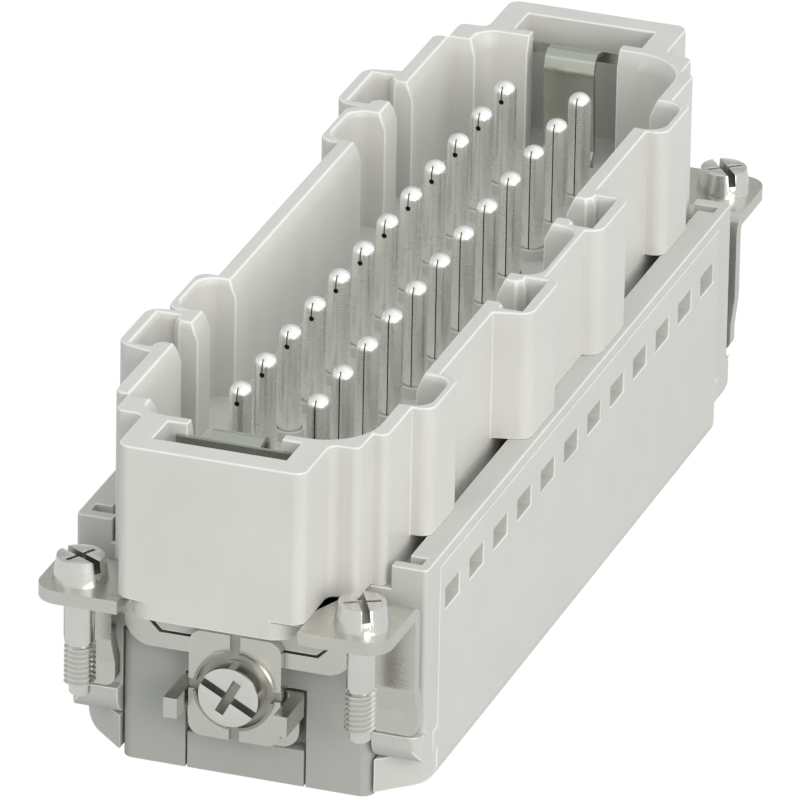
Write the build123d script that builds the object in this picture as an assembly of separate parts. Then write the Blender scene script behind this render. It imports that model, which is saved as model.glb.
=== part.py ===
from build123d import *
import math
import os

# Male insert of a heavy duty rectangular connector, 24 contacts and earth.
# Millimetres. X runs along the insert, +Z is the mating side, and the
# origin is on the underside, midway between the four fixing screws.

# Contact grid, and the fixing screws placed from it
contact_pitch = 6.7
contacts_per_row = 12
row_spacing = 7.5
fixing_margin_x = 15.15
fixing_margin_y = 9.75
row_y = row_spacing / 2
row_half_x = (contacts_per_row - 1) * contact_pitch / 2
fixing_x = row_half_x + fixing_margin_x
fixing_y = row_y + fixing_margin_y

# Clearances between pieces that fit together
fit_gap = 0.15
face_gap = 0.05
pin_gap = 0.05
thread_gap = 0.06

# Levels above the underside
block_height = 12.6
plinth_height = 8.4
floor_thickness = 3.2
cavity_depth = 11.9
ledge_rise = 2.3
frame_underside = 3.9
panel_underside = 0.5
panel_seam_drop = 1.17
seat_level = block_height + plinth_height
floor_top = seat_level + floor_thickness
rim_level = floor_top + cavity_depth
ledge_level = seat_level + ledge_rise
panel_top = ledge_level - panel_seam_drop

# Shroud: mating cavity, its lead-in and its coded corners
cavity_margin_x = 9.48
cavity_margin_y = 7.28
cavity_half_x = row_half_x + cavity_margin_x
cavity_half_y = row_y + cavity_margin_y
cavity_round = 4.7
lead_width = 0.72
lead_depth = 1.75
slot_lead_width = 0.3
notch_length = 2.83
notch_width = 2.23
notch_round = 1.3

# Shroud: guide slots and relief pockets in the long walls
front_slot_x = 10.05
back_slot_x = 29.7
neck_half = 2.15
slot_half = 3.4
flare = 0.7
lip_depth = cavity_half_y + 1.92
slot_depth = lip_depth + flare + 1.65
pocket_depth = cavity_half_y + 3.19
pocket_corner = 1.6
centre_pocket_half = 5.6
front_pocket_x = 33.45
front_pocket_half = 3.2
front_boss_half = 3.9
back_pocket_x = 20.7
back_pocket_half = 3.4
back_boss_half = 4.3

# Shroud: end slots for the earth springs
end_slot_inner = cavity_half_x + 1.87
end_slot_outer = end_slot_inner + 3.95
end_slot_half = 6.38
end_neck_half = 4.5

# Shroud: outer outline, measured from its own centre line
shroud_offset = 0.27
step_half_x = cavity_half_x + 1.27
wall_half_x = step_half_x - 3.6
wall_half_y = cavity_half_y + 2.1
step_half_y = wall_half_y - 1.38
end_half_x = end_slot_outer + 2.55
end_half_y = end_slot_half + 2.62
wall_corner = 0.8
end_corner = 1.2
end_blend = 0.9
wide_reach = slot_depth + 1.35
low_reach = pocket_depth + 0.88
wide_half = 5.05
wide_corner = 1.5
low_corner = 1.3
flank_slope = 1.0
collar_wall = 0.25
collar_rise = 1.2

# Contact pins
pin_radius = 1.1
pin_root_radius = 0.85
pin_length = 11.4
pin_flange_radius = 1.8
pin_flange_height = 1.0
pin_barrel_radius = 1.55
pin_spigot_radius = 0.9
pin_spigot_length = 1.3
flange_level = seat_level - 0.8
seam_width = 0.14
seam_depth = 0.3
slit_length = 3.2
dot_radius = 0.22

# Terminal block
chamber_wall = 1.3
chamber_inner = 1.4
chamber_length = 9.5
chamber_outer = chamber_inner + chamber_length
chamber_floor = 3.2
funnel_y = chamber_outer - 2.4
funnel_radius = 2.6
funnel_depth = 1.8
wire_radius = 1.75
release_y = 4.0
release_length = 3.4
release_width = 2.2
block_half_y = chamber_outer + 1.2
block_corner = 1.2
seam_groove = 0.25
seam_mouth = 0.4
seam_cut = 1.0

# Carrier frame
frame_half_x = wall_half_x + face_gap
frame_half_y = wide_reach + shroud_offset
frame_corner = 0.5
end_wall = 1.26
ledge_trench = 0.96
key_length = 1.4
key_width = 1.59
key_depth = 1.2
end_foot_reach = 1.3
end_foot_top = 7.0
end_foot_corner = 1.2
end_foot_round = 2.3
block_half_x = frame_half_x + 0.75
frame_inner_x = frame_half_x - end_wall
frame_inner_y = block_half_y + fit_gap
end_wall_underside = block_height + fit_gap
ledge_inner_y = wall_half_y + shroud_offset + ledge_trench

# Side panels
panel_half_x = row_half_x + 3.45
panel_thickness = 1.9
panel_round = 1.6
window_width = 3.9
window_height = 2.14
window_drop = 2.79
window_sill = panel_top - window_drop - window_height
lug_length = 1.25
lug_height = 2.25
lug_thickness = 1.2
foot_reach = panel_half_x + 4.3

# Earth brackets, bent from one thickness of sheet
sheet = 1.3
flange_gap = 1.75
flange_back = frame_half_x + flange_gap
flange_face = flange_back + sheet
ear_reach = fixing_x + 3.7
ear_width = 8.27
ear_inner = frame_half_y - ear_width
ear_outer = frame_half_y
ear_corner = 2.4
bend_radius = 1.15
clamp_level = block_height - 2.4
leg_inner = block_half_y + 0.2
leg_foot = clamp_level - 2.7
leg_corner = 1.0
leg_joggle = 1.1
leg_joggle_top = clamp_level + 2.3
leg_joggle_height = 2.5
apron_half = leg_inner - 1.3
apron_foot = clamp_level + 2.6
apron_corner = 2.6
apron_height = 1.55
apron_sill = apron_foot + apron_height
sill_corner = 1.0
gap_top = apron_foot + 2.8
tongue_half = 5.4
tongue_length = 8.75
tongue_foot = apron_foot - tongue_length
tongue_corner = 1.8
tongue_joggle = 1.6
tongue_joggle_height = 1.4
tongue_bend = 1.0
arm_y = 5.3
arm_bend = 1.3
arm_sill = clamp_level - 2.6
arm_height = 2.0
arm_relief = 0.4
arm_reach = flange_face + 3.4

# Recess for the tongue in each end of the block, strip between the ears
end_recess_half = tongue_half + 0.45
end_recess_sill = tongue_foot - 0.45
end_recess_depth = 1.6
strip_half = ear_inner - 0.65
strip_underside = seat_level - 1.85
strip_corner = 2.4

# Earth clamp: saddle plate and its screw
saddle_half = 4.45
saddle_height = 10.5
saddle_lift = 0.15
saddle_thickness = 0.85
saddle_corner = 1.3
boss_radius = 3.9
boss_rise = 0.45
dish_radius = 3.6
dish_depth = 0.7
groove_width = 1.0
groove_depth = 0.3
saddle_back = flange_face + face_gap
saddle_face = saddle_back + saddle_thickness
dish_floor = saddle_face + boss_rise - dish_depth
earth_thread_radius = 2.0
earth_head_radius = 2.9
earth_head_height = 2.0
earth_screw_length = 7.0
earth_slot_width = 0.75
earth_cross_width = 0.85
earth_cross_half = 1.85
earth_slot_depth = 1.3
earth_slot_turn = -62.0

# Fixing screws, captive in the ears
fixing_head_radius = 2.2
fixing_base_radius = 2.6
fixing_head_height = 2.25
fixing_shank_radius = 1.35
fixing_thread_radius = 1.47
fixing_neck_length = 6.2
fixing_thread_length = 4.4
fixing_point_radius = 1.0
fixing_point_length = 1.0
fixing_slot_width = 0.75
fixing_slot_depth = 1.3
fixing_cross_width = 0.45
fixing_cross_half = 1.75
fixing_cross_depth = 0.9
left_front_turn = 28.0
left_back_turn = 61.0
right_front_turn = 38.0
right_back_turn = 80.0

# Earth springs in the ends of the cavity
spring_sheet = 0.45
spring_width = 5.05
spring_bar_half = 5.45
spring_inset = 0.88
spring_apex_rise = 9.3
spring_root_rise = 0.5
spring_back = 0.65
spring_bar_foot = 2.2
spring_bar_top = 1.1
spring_bow_top = 0.85
spring_bow_reach = 0.55
spring_bend = 0.5
spring_apex_bend = 1.6
spring_bow_bend = 0.9
spring_curl = 0.35
spring_tail_foot = apron_sill - 0.9

# Wire clamps in the terminal block
bar_thickness = 0.9
bar_half = 1.6
leg_half = 1.1
bar_leg_y = row_y + 3.05
bar_leg_foot = chamber_floor + 0.7
clamp_strip = 3.6
clamp_sheet = 0.35
clamp_inner_y = chamber_inner + 0.7
clamp_outer_y = chamber_outer - 0.7
clamp_leg_y = bar_leg_y - 0.9
clamp_top = block_height - 2.4
clamp_bottom = chamber_floor + 1.3
clamp_leg_foot = clamp_bottom + 1.1
clamp_bend = 1.2
clamp_window_half = 1.3


def contact_xs():
    """Contact places along one row, evenly spaced about the middle."""
    return [i * contact_pitch - row_half_x for i in range(contacts_per_row)]


def span(x0, x1, y0, y1, z0, z1):
    """A block between two opposite corners."""
    centre = Pos((x0 + x1) / 2, (y0 + y1) / 2, (z0 + z1) / 2)
    return centre * Box(x1 - x0, y1 - y0, z1 - z0)


def column(outline, z0, z1):
    """A flat outline raised from one level to another."""
    return Pos(0, 0, z0) * extrude(outline, z1 - z0)


def rod(radius, z0, z1):
    """An upright round bar on the Z axis."""
    return Pos(0, 0, (z0 + z1) / 2) * Cylinder(radius, z1 - z0)


def both_ends(piece):
    """The piece at the +X end and its mirror image at the other."""
    return [piece, mirror(piece, Plane.YZ)]


def both_sides(piece):
    """The piece on the +Y side and its mirror image on the other."""
    return [piece, mirror(piece, Plane.XZ)]


def bent_strip(points, radius, width, thickness):
    """A strip of sheet, its middle line through points in the XZ plane."""
    path = FilletPolyline(*[(x, 0, z) for x, z in points], radius=radius)
    section = Plane(path @ 0, x_dir=(0, 1, 0), z_dir=path % 0)
    return sweep(section * Rectangle(width, thickness), path)


def wall_boss(centre, half, reach, corner, slope):
    """A boss on the outside of the +Y wall, its flanks leaning inwards."""
    root = wall_half_y - wall_corner
    face = Polygon(
        (centre - half, root),
        (centre + half, root),
        (centre + half - slope, reach),
        (centre - half + slope, reach),
        align=None,
    )
    return fillet(face.vertices().group_by(Axis.Y)[-1], corner)


def guide_slot(centre):
    """Undercut guide slot in the +Y wall: neck, flared lip, wider slot."""
    half = [
        (neck_half, cavity_half_y - wall_corner),
        (neck_half, lip_depth),
        (neck_half + flare, lip_depth + flare),
        (slot_half, lip_depth + flare),
        (slot_half, slot_depth),
    ]
    right = [(centre + x, y) for x, y in half]
    left = [(centre - x, y) for x, y in reversed(half)]
    return Polygon(*right, *left, align=None)


def relief_pocket(centre, half):
    """Pocket that widens the cavity into a boss on the +Y wall."""
    root = cavity_half_y - pocket_corner
    face = Pos(centre, (root + pocket_depth) / 2) * Rectangle(2 * half, pocket_depth - root)
    return fillet(face.vertices().group_by(Axis.Y)[-1], pocket_corner)


def plain_outline():
    """Shroud outline without the bosses: walls, steps and end blocks."""
    walls = RectangleRounded(2 * wall_half_x, 2 * wall_half_y, wall_corner)
    steps = RectangleRounded(2 * step_half_x, 2 * step_half_y, wall_corner)
    ends = RectangleRounded(2 * end_half_x, 2 * end_half_y, end_corner)
    outline = walls + steps + ends
    inner = [
        v
        for v in outline.vertices()
        if math.isclose(abs(v.X), step_half_x, abs_tol=0.01)
        and math.isclose(abs(v.Y), end_half_y, abs_tol=0.01)
    ]
    return fillet(inner, end_blend)


def boss_outline():
    """The bosses on both long walls, wide ones round the guide slots."""
    back = []
    front = []
    for side in (-1, 1):
        back.append(wall_boss(side * back_slot_x, wide_half, wide_reach, wide_corner, flank_slope))
        back.append(wall_boss(side * back_pocket_x, back_boss_half, low_reach, low_corner, 0))
        front.append(wall_boss(side * front_slot_x, wide_half, wide_reach, wide_corner, flank_slope))
        front.append(wall_boss(side * front_pocket_x, front_boss_half, low_reach, low_corner, 0))
    front.append(wall_boss(0, front_slot_x - wide_half + wide_corner, low_reach, low_corner, 0))
    return Sketch() + back + [mirror(face, Plane.XZ) for face in front]


def cavity_outline():
    """Mating cavity: two round corners in front, two notched ones behind."""
    outline = Rectangle(2 * cavity_half_x, 2 * cavity_half_y)
    outline = fillet(outline.vertices().group_by(Axis.Y)[0], cavity_round)
    for side in (-1, 1):
        notch = Rectangle(2 * notch_length, 2 * notch_width)
        outline -= Pos(side * cavity_half_x, cavity_half_y) * notch
    outer = [
        v
        for v in outline.vertices()
        if math.isclose(abs(v.X), cavity_half_x, abs_tol=0.01)
        and math.isclose(v.Y, cavity_half_y - notch_width, abs_tol=0.01)
    ]
    return fillet(outer, notch_round)


def wall_slots():
    """Guide slots and relief pockets of both long walls, one face each."""
    back = []
    front = [relief_pocket(0, centre_pocket_half)]
    for side in (-1, 1):
        back.append(guide_slot(side * back_slot_x))
        back.append(relief_pocket(side * back_pocket_x, back_pocket_half))
        front.append(guide_slot(side * front_slot_x))
        front.append(relief_pocket(side * front_pocket_x, front_pocket_half))
    return back + [mirror(face, Plane.XZ) for face in front]


def end_slots():
    """Slot with a narrower neck at each end of the cavity."""
    slot_length = end_slot_outer - end_slot_inner
    slot_middle = (end_slot_outer + end_slot_inner) / 2
    neck_length = slot_middle - cavity_half_x + wall_corner
    neck_middle = slot_middle - neck_length / 2
    slot = Pos(slot_middle, 0) * Rectangle(slot_length, 2 * end_slot_half)
    slot += Pos(neck_middle, 0) * Rectangle(neck_length, 2 * end_neck_half)
    return both_ends(slot)


def lead_in(face, width):
    """Sloping lead-in below the rim, as wide as said, all at one angle."""
    depth = lead_depth * width / lead_width
    angle = math.degrees(math.atan(lead_width / lead_depth))
    return Pos(0, 0, rim_level - depth) * extrude(face, depth, taper=-angle)


def shroud_upper():
    """Shroud walls above the seat, round the cavity that the mate enters."""
    walls = column(plain_outline() + boss_outline(), ledge_level, rim_level)
    walls += column(plain_outline(), seat_level, ledge_level)
    cavity = cavity_outline()
    slots = wall_slots()
    walls -= column(cavity + slots + end_slots(), floor_top, rim_level)
    walls -= lead_in(cavity, lead_width)
    walls -= [lead_in(slot, slot_lead_width) for slot in slots]
    return Pos(0, shroud_offset, 0) * walls


def shroud_ends():
    """Strip between the ears and foot behind the apron, at both ends."""
    strip = RectangleRounded(2 * end_half_x, 2 * strip_half, strip_corner)
    strip = Pos(0, shroud_offset, 0) * column(strip, strip_underside, seat_level)
    reach = flange_face + fit_gap
    strip -= span(-reach, reach, -frame_half_y, frame_half_y, strip_underside, seat_level)
    inner = frame_half_x + fit_gap
    outer = flange_face - fit_gap
    height = seat_level - apron_sill - fit_gap
    foot = Rectangle(2 * (ear_inner - fit_gap), height)
    foot = chamfer(foot.vertices().group_by(Axis.Y)[0], sill_corner)
    foot = Pos(inner, 0, seat_level - height / 2) * extrude(Plane.YZ * foot, outer - inner)
    link = span(outer, reach, -strip_half, strip_half, strip_underside, seat_level)
    return [strip] + both_ends(foot) + both_ends(link)


def shroud_housing():
    """Shroud, floor, collars and plinth: one moulding."""
    body = shroud_upper() + shroud_ends()
    plinth = RectangleRounded(2 * (frame_inner_x - fit_gap), 2 * block_half_y, wall_corner)
    body += column(plinth, block_height, seat_level)
    places = [Pos(x, side * row_y, 0) for x in contact_xs() for side in (-1, 1)]
    collar_radius = pin_radius + pin_gap + collar_wall
    body += [place * rod(collar_radius, seat_level, floor_top + collar_rise) for place in places]
    bore = rod(pin_radius + pin_gap, block_height, rim_level)
    counterbore = rod(pin_flange_radius + pin_gap, block_height, flange_level + face_gap)
    body -= [place * (bore + counterbore) for place in places]
    half = spring_width / 2 + fit_gap
    gap = spring_sheet + face_gap
    tail_slot = span(
        flange_back - gap,
        flange_back,
        shroud_offset - half,
        shroud_offset + half,
        apron_sill,
        floor_top,
    )
    return body - both_ends(tail_slot)


def carrier_frame():
    """Frame round the plinth and the terminal block, with a top ledge."""
    outline = RectangleRounded(2 * frame_half_x, 2 * frame_half_y, frame_corner)
    low, high = frame_underside, ledge_level
    body = column(outline, low, high) + both_ends(end_feet())
    body -= span(-frame_inner_x, frame_inner_x, -frame_inner_y, frame_inner_y, low, high)
    body -= span(-frame_inner_x, frame_inner_x, -ledge_inner_y, ledge_inner_y, seat_level, high)
    wall_room = wall_half_y + shroud_offset + face_gap
    body -= span(-frame_half_x, frame_half_x, -wall_room, wall_room, seat_level, high)
    body -= span(-frame_half_x, frame_half_x, -frame_inner_y, frame_inner_y, low, end_wall_underside)
    skin = frame_half_y - panel_thickness - face_gap
    half = panel_half_x + face_gap
    recess = span(-half, half, skin, frame_half_y, low, panel_top + face_gap)
    lug_half = panel_half_x + lug_length + face_gap
    lug_skin = frame_half_y - lug_thickness - face_gap
    lug_top = frame_underside + lug_height + face_gap
    recess += span(-lug_half, lug_half, lug_skin, frame_half_y, low, lug_top)
    body -= both_sides(recess)
    key = span(
        frame_inner_x - key_length,
        frame_inner_x,
        ledge_inner_y,
        ledge_inner_y + key_width,
        ledge_level - key_depth,
        ledge_level,
    )
    keys = both_ends(key)
    body -= keys + [mirror(k, Plane.XZ) for k in keys]
    return body - both_ends(end_foot_rounding())


def end_feet():
    """The two feet of the frame's +X end that the bracket's legs stand over."""
    reach = frame_half_x + end_foot_reach
    foot = span(frame_inner_x, reach, frame_inner_y, frame_half_y, frame_underside, end_foot_top)
    outer = foot.edges().filter_by(Axis.Z).group_by(Axis.X)[-1].sort_by(Axis.Y)[-1]
    foot = fillet(outer, end_foot_corner)
    return foot + mirror(foot, Plane.XZ)


def end_foot_rounding():
    """What the rounding takes off the lower outer edge of the +X feet."""
    x = frame_half_x + end_foot_reach - end_foot_round
    z = frame_underside + end_foot_round
    corner = Pos(x, z) * Rectangle(2 * end_foot_round, 2 * end_foot_round)
    keep = Pos(x, z) * Circle(end_foot_round)
    square = corner - keep
    outer_low = Pos(x + end_foot_round / 2, z - end_foot_round / 2)
    outer_low = outer_low * Rectangle(end_foot_round, end_foot_round)
    return extrude(Plane.XZ * (square & outer_low), frame_half_y, both=True)


def side_panel():
    """Panel on the +Y side, with one window for each contact."""
    inner = frame_half_y - panel_thickness
    half = panel_half_x
    skin = span(-half, half, inner, frame_half_y, panel_underside, panel_top)
    foot_inner = frame_inner_y + face_gap
    foot_top = frame_underside - face_gap
    body = skin + span(
        -foot_reach,
        foot_reach,
        foot_inner,
        frame_half_y,
        panel_underside,
        foot_top,
    )
    corner = body.edges().filter_by(Axis.X).group_by(Axis.Z)[0].sort_by(Axis.Y)[-1]
    body = fillet(corner, panel_round)
    mitre = Polygon(
        (half, frame_half_y),
        (foot_reach, foot_inner),
        (foot_reach, frame_half_y),
        align=None,
    )
    body -= both_ends(column(mitre, panel_underside, foot_top))
    lug_half = half + lug_length
    lug_inner = frame_half_y - lug_thickness
    lug_top = frame_underside + lug_height
    body += span(-lug_half, lug_half, lug_inner, frame_half_y, frame_underside, lug_top)
    window = span(
        -window_width / 2,
        window_width / 2,
        inner,
        frame_half_y,
        window_sill,
        window_sill + window_height,
    )
    return body - [Pos(x, 0, 0) * window for x in contact_xs()]


def wire_chamber():
    """Chamber of one wire clamp, with its wire funnel and release slot."""
    half = (contact_pitch - chamber_wall) / 2
    chamber = span(-half, half, chamber_inner, chamber_outer, chamber_floor, block_height)
    throat = Pos(0, funnel_y, 0) * rod(wire_radius, 0, chamber_floor)
    mouth = Cone(funnel_radius, wire_radius, funnel_depth)
    mouth = Pos(0, funnel_y, funnel_depth / 2) * mouth
    slot_half_y = release_width / 2
    slot = span(
        -release_length / 2,
        release_length / 2,
        release_y - slot_half_y,
        release_y + slot_half_y,
        0,
        chamber_floor,
    )
    return chamber + throat + mouth + slot


def terminal_block():
    """Block under the plinth: 24 wire chambers, open towards the pins."""
    outline = RectangleRounded(2 * block_half_x, 2 * block_half_y, block_corner)
    body = column(outline, 0, block_height)
    chambers = [Pos(x, 0, 0) * wire_chamber() for x in contact_xs()]
    body -= chambers
    body -= [mirror(chamber, Plane.XZ) for chamber in chambers]
    half = end_recess_half
    recess_floor = block_half_x - end_recess_depth
    recess = span(recess_floor, block_half_x, -half, half, end_recess_sill, block_height)
    tip = dish_floor - earth_screw_length - 2 * fit_gap
    bore_radius = earth_thread_radius + 2 * fit_gap
    bore = Pos(0, 0, clamp_level) * (Rot(0, 90, 0) * rod(bore_radius, tip, block_half_x))
    bore += span(tip, block_half_x, -bore_radius, bore_radius, clamp_level, block_height)
    seam = Polygon(
        (half, end_recess_sill + seam_groove),
        (half, 0),
        (half - seam_groove - seam_mouth, 0),
        (half - seam_groove, seam_mouth),
        (half - seam_groove, end_recess_sill + seam_groove),
        align=None,
    )
    seam = Pos(block_half_x - seam_cut, 0, 0) * extrude(Plane.YZ * seam, seam_cut)
    return body - both_ends(recess + bore + both_sides(seam))


def contact_pin():
    """One rolled contact pin, with its seam and the slit opposite it."""
    tip_base = floor_top + pin_length - pin_radius
    foot = block_height - fit_gap
    collar_top = floor_top + collar_rise + fit_gap
    body = rod(pin_radius, collar_top, tip_base)
    body += rod(pin_root_radius, flange_level - pin_flange_height, collar_top)
    body += Pos(0, 0, tip_base) * Sphere(pin_radius)
    body += rod(pin_flange_radius, flange_level - pin_flange_height, flange_level)
    body += rod(pin_barrel_radius, foot, flange_level - pin_flange_height)
    body += rod(pin_spigot_radius, foot - pin_spigot_length, foot)
    half = seam_width / 2
    top = tip_base + pin_radius
    cut_floor = pin_radius - seam_depth
    slit_foot = top - slit_length
    seam = span(-pin_radius, -cut_floor, -half, half, collar_top, top)
    slit = span(cut_floor, pin_radius, -half, half, slit_foot, top)
    dot = Rot(0, 90, 0) * rod(dot_radius, cut_floor, pin_radius)
    return body - seam - slit - Pos(0, 0, slit_foot) * dot


def clamp_bar():
    """Current bar of one clamp: riveted to the pin, then down to the wire."""
    top = block_height - fit_gap - face_gap
    under = top - bar_thickness
    leg_outer = bar_leg_y + bar_thickness
    plate = span(-bar_half, bar_half, row_y - bar_half, leg_outer, under, top)
    leg = span(-leg_half, leg_half, bar_leg_y, leg_outer, bar_leg_foot, under)
    hole = rod(pin_spigot_radius + pin_gap, under, top)
    return plate + leg - Pos(0, row_y, 0) * hole


def clamp_spring():
    """Cage spring of one clamp, bent from strip, with a window for the wire."""
    points = [
        (clamp_leg_y, clamp_leg_foot),
        (clamp_leg_y, clamp_top),
        (clamp_inner_y, clamp_top),
        (clamp_inner_y, clamp_bottom),
        (clamp_outer_y, clamp_bottom),
    ]
    cage = Rot(0, 0, 90) * bent_strip(points, clamp_bend, clamp_strip, clamp_sheet)
    window = span(
        -clamp_window_half,
        clamp_window_half,
        bar_leg_y - fit_gap,
        clamp_outer_y - clamp_sheet,
        clamp_bottom - clamp_sheet,
        clamp_bottom + clamp_sheet,
    )
    return cage - window


def earth_bracket():
    """Bracket of the +X end: ears, apron, tongue, legs and two wire arms."""
    middle = flange_face - sheet / 2
    ear_middle = seat_level - sheet / 2
    top_path = [(middle, apron_foot), (middle, ear_middle), (ear_reach, ear_middle)]
    body = bent_strip(top_path, bend_radius, 2 * ear_outer, sheet)
    tips = body.edges().filter_by(Axis.Z).group_by(Axis.X)[-1]
    body = fillet(tips, ear_corner)
    inner = frame_inner_x
    upper = Pos(0, (apron_sill + 2 * seat_level) / 2)
    sill = Rectangle(2 * ear_inner, 2 * seat_level - apron_sill)
    sill = chamfer(sill.vertices().group_by(Axis.Y)[0], sill_corner)
    cut = extrude(Plane.YZ * (upper * sill), ear_reach)
    body -= Pos(inner, 0, 0) * cut
    side_gap = Pos((apron_half + leg_inner) / 2, gap_top / 2)
    side_gap = side_gap * Rectangle(leg_inner - apron_half, gap_top)
    corner = Pos(apron_half, apron_foot) * Rectangle(2 * apron_corner, 2 * apron_corner)
    corner -= Pos(apron_half - apron_corner, apron_foot + apron_corner) * Circle(apron_corner)
    gap = Pos(inner, 0, 0) * extrude(Plane.YZ * (side_gap + corner), sheet + ear_corner)
    body -= both_sides(gap)
    body += earth_tongue() + both_sides(wire_arm() + earth_leg())
    fixing = Pos(fixing_x, fixing_y, 0) * rod(fixing_shank_radius + thread_gap, 0, rim_level)
    thread = Rot(0, 90, 0) * rod(earth_thread_radius + thread_gap, 0, ear_reach)
    return body - both_sides(fixing) - Pos(0, 0, clamp_level) * thread


def earth_tongue():
    """Tongue below the apron, set back at a joggle into the block's recess."""
    middle = flange_face - sheet / 2
    back = middle - tongue_joggle
    path = [
        (back, tongue_foot),
        (back, apron_foot - tongue_joggle_height),
        (middle, apron_foot),
        (middle, apron_sill),
    ]
    tongue = bent_strip(path, tongue_bend, 2 * tongue_half, sheet)
    tips = tongue.edges().filter_by(Axis.X).group_by(Axis.Z)[0]
    tongue = fillet(tips, tongue_corner)
    notch_inner = arm_y - arm_bend
    notch = span(
        back - sheet,
        middle,
        notch_inner,
        tongue_half,
        arm_sill - arm_relief,
        arm_sill + arm_height + arm_relief,
    )
    return tongue - both_sides(notch)


def wire_arm():
    """Arm of the +Y side, bent forwards out of the tongue's edge."""
    back = flange_face - sheet / 2 - tongue_joggle
    root = arm_y - arm_bend - sheet
    path = FilletPolyline((back, root, 0), (back, arm_y, 0), (arm_reach, arm_y, 0), radius=arm_bend)
    section = Plane(path @ 0, x_dir=(0, 0, 1), z_dir=path % 0)
    arm = sweep(section * Rectangle(arm_height, sheet), path)
    return Pos(0, 0, arm_sill + arm_height / 2) * arm


def earth_leg():
    """Leg on the +Y side, set back at a joggle to lie along the frame."""
    middle = flange_face - sheet / 2
    foot = middle - leg_joggle
    path = [
        (foot, leg_foot),
        (foot, leg_joggle_top - leg_joggle_height),
        (middle, leg_joggle_top),
        (middle, leg_joggle_top + 2 * sheet),
    ]
    leg = bent_strip(path, sheet, ear_outer - leg_inner, sheet)
    leg = Pos(0, (ear_outer + leg_inner) / 2, 0) * leg
    tips = leg.edges().filter_by(Axis.X).group_by(Axis.Z)[0]
    return fillet(tips, leg_corner)


def earth_saddle():
    """Clamping saddle of the +X end: plate, dished boss, cross grooves."""
    middle = clamp_level + saddle_lift
    outline = RectangleRounded(2 * saddle_half, saddle_height, saddle_corner)
    outline = Pos(0, middle) * outline
    plate = Pos(saddle_back, 0, 0) * extrude(Plane.YZ * outline, saddle_thickness)
    boss_face = saddle_face + boss_rise
    boss = rod(boss_radius, saddle_back, boss_face)
    dish = rod(dish_radius, dish_floor, boss_face)
    reach = saddle_height
    half = groove_width / 2
    floor = saddle_face - groove_depth
    across = span(floor, boss_face, -reach, reach, clamp_level - half, clamp_level + half)
    upright = span(floor, boss_face, -half, half, clamp_level - reach, clamp_level + reach)
    hole = rod(earth_thread_radius + fit_gap, saddle_back, boss_face)
    on_axis = Pos(0, 0, clamp_level) * Rot(0, 90, 0)
    return plate + on_axis * boss - on_axis * dish - on_axis * hole - across - upright


def crossed_slots(radius, top, long_width, long_depth, cross_width, cross_depth, cross_half):
    """Drive of a screw head: one slot edge to edge and a short one across."""
    long_slot = span(-radius, radius, -long_width / 2, long_width / 2, top - long_depth, top)
    half = cross_width / 2
    return long_slot + span(-half, half, -cross_half, cross_half, top - cross_depth, top)


def earth_screw():
    """Earth clamp screw of the +X end, its head standing in the saddle."""
    top = earth_head_height
    body = rod(earth_thread_radius, -earth_screw_length, 0) + rod(earth_head_radius, 0, top)
    slots = crossed_slots(
        earth_head_radius,
        top,
        earth_slot_width,
        earth_slot_depth,
        earth_cross_width,
        earth_slot_depth,
        earth_cross_half,
    )
    body -= Rot(0, 0, earth_slot_turn) * slots
    return Pos(dish_floor, 0, clamp_level) * (Rot(0, 90, 0) * body)


def fixing_screw():
    """Captive fixing screw, standing on an ear at the origin's axis."""
    head_top = seat_level + fixing_head_height
    neck_end = seat_level - fixing_neck_length
    thread_end = neck_end - fixing_thread_length
    head = Cone(fixing_base_radius, fixing_head_radius, fixing_head_height)
    body = Pos(0, 0, seat_level + fixing_head_height / 2) * head
    body += rod(fixing_shank_radius, neck_end, seat_level)
    body += rod(fixing_thread_radius, thread_end, neck_end)
    body += rod(fixing_point_radius, thread_end - fixing_point_length, thread_end)
    return body - crossed_slots(
        fixing_base_radius,
        head_top,
        fixing_slot_width,
        fixing_slot_depth,
        fixing_cross_width,
        fixing_cross_depth,
        fixing_cross_half,
    )


def earth_spring():
    """Leaf spring of the +X end: tail through the floor, bow and crossbar."""
    half_sheet = spring_sheet / 2
    tail_x = flange_back - half_sheet
    apex_x = cavity_half_x - spring_inset + half_sheet
    bar_x = end_slot_inner + face_gap + half_sheet
    root = floor_top + spring_root_rise
    bow_top = rim_level - spring_bow_top
    bar_top = rim_level - spring_bar_top
    bar_foot = rim_level - spring_bar_foot
    points = [
        (tail_x, spring_tail_foot),
        (tail_x, root),
        (tail_x + spring_back, root + spring_back),
        (apex_x, floor_top + spring_apex_rise),
        (apex_x + spring_bow_reach, bow_top),
        (bar_x, bar_top - half_sheet),
        (bar_x, bar_foot),
    ]
    bends = [spring_bend, spring_bend, spring_apex_bend, spring_bow_bend, spring_curl]
    leaf = bent_strip(points, bends, spring_width, spring_sheet)
    half = spring_bar_half
    bar = span(bar_x - half_sheet, bar_x + half_sheet, -half, half, bar_foot, bar_top)
    return Pos(0, shroud_offset, 0) * (leaf + bar)


def write(name, shape):
    """Save one piece under its own name."""
    export_step(shape, f"parts/{name}.step")


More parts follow.
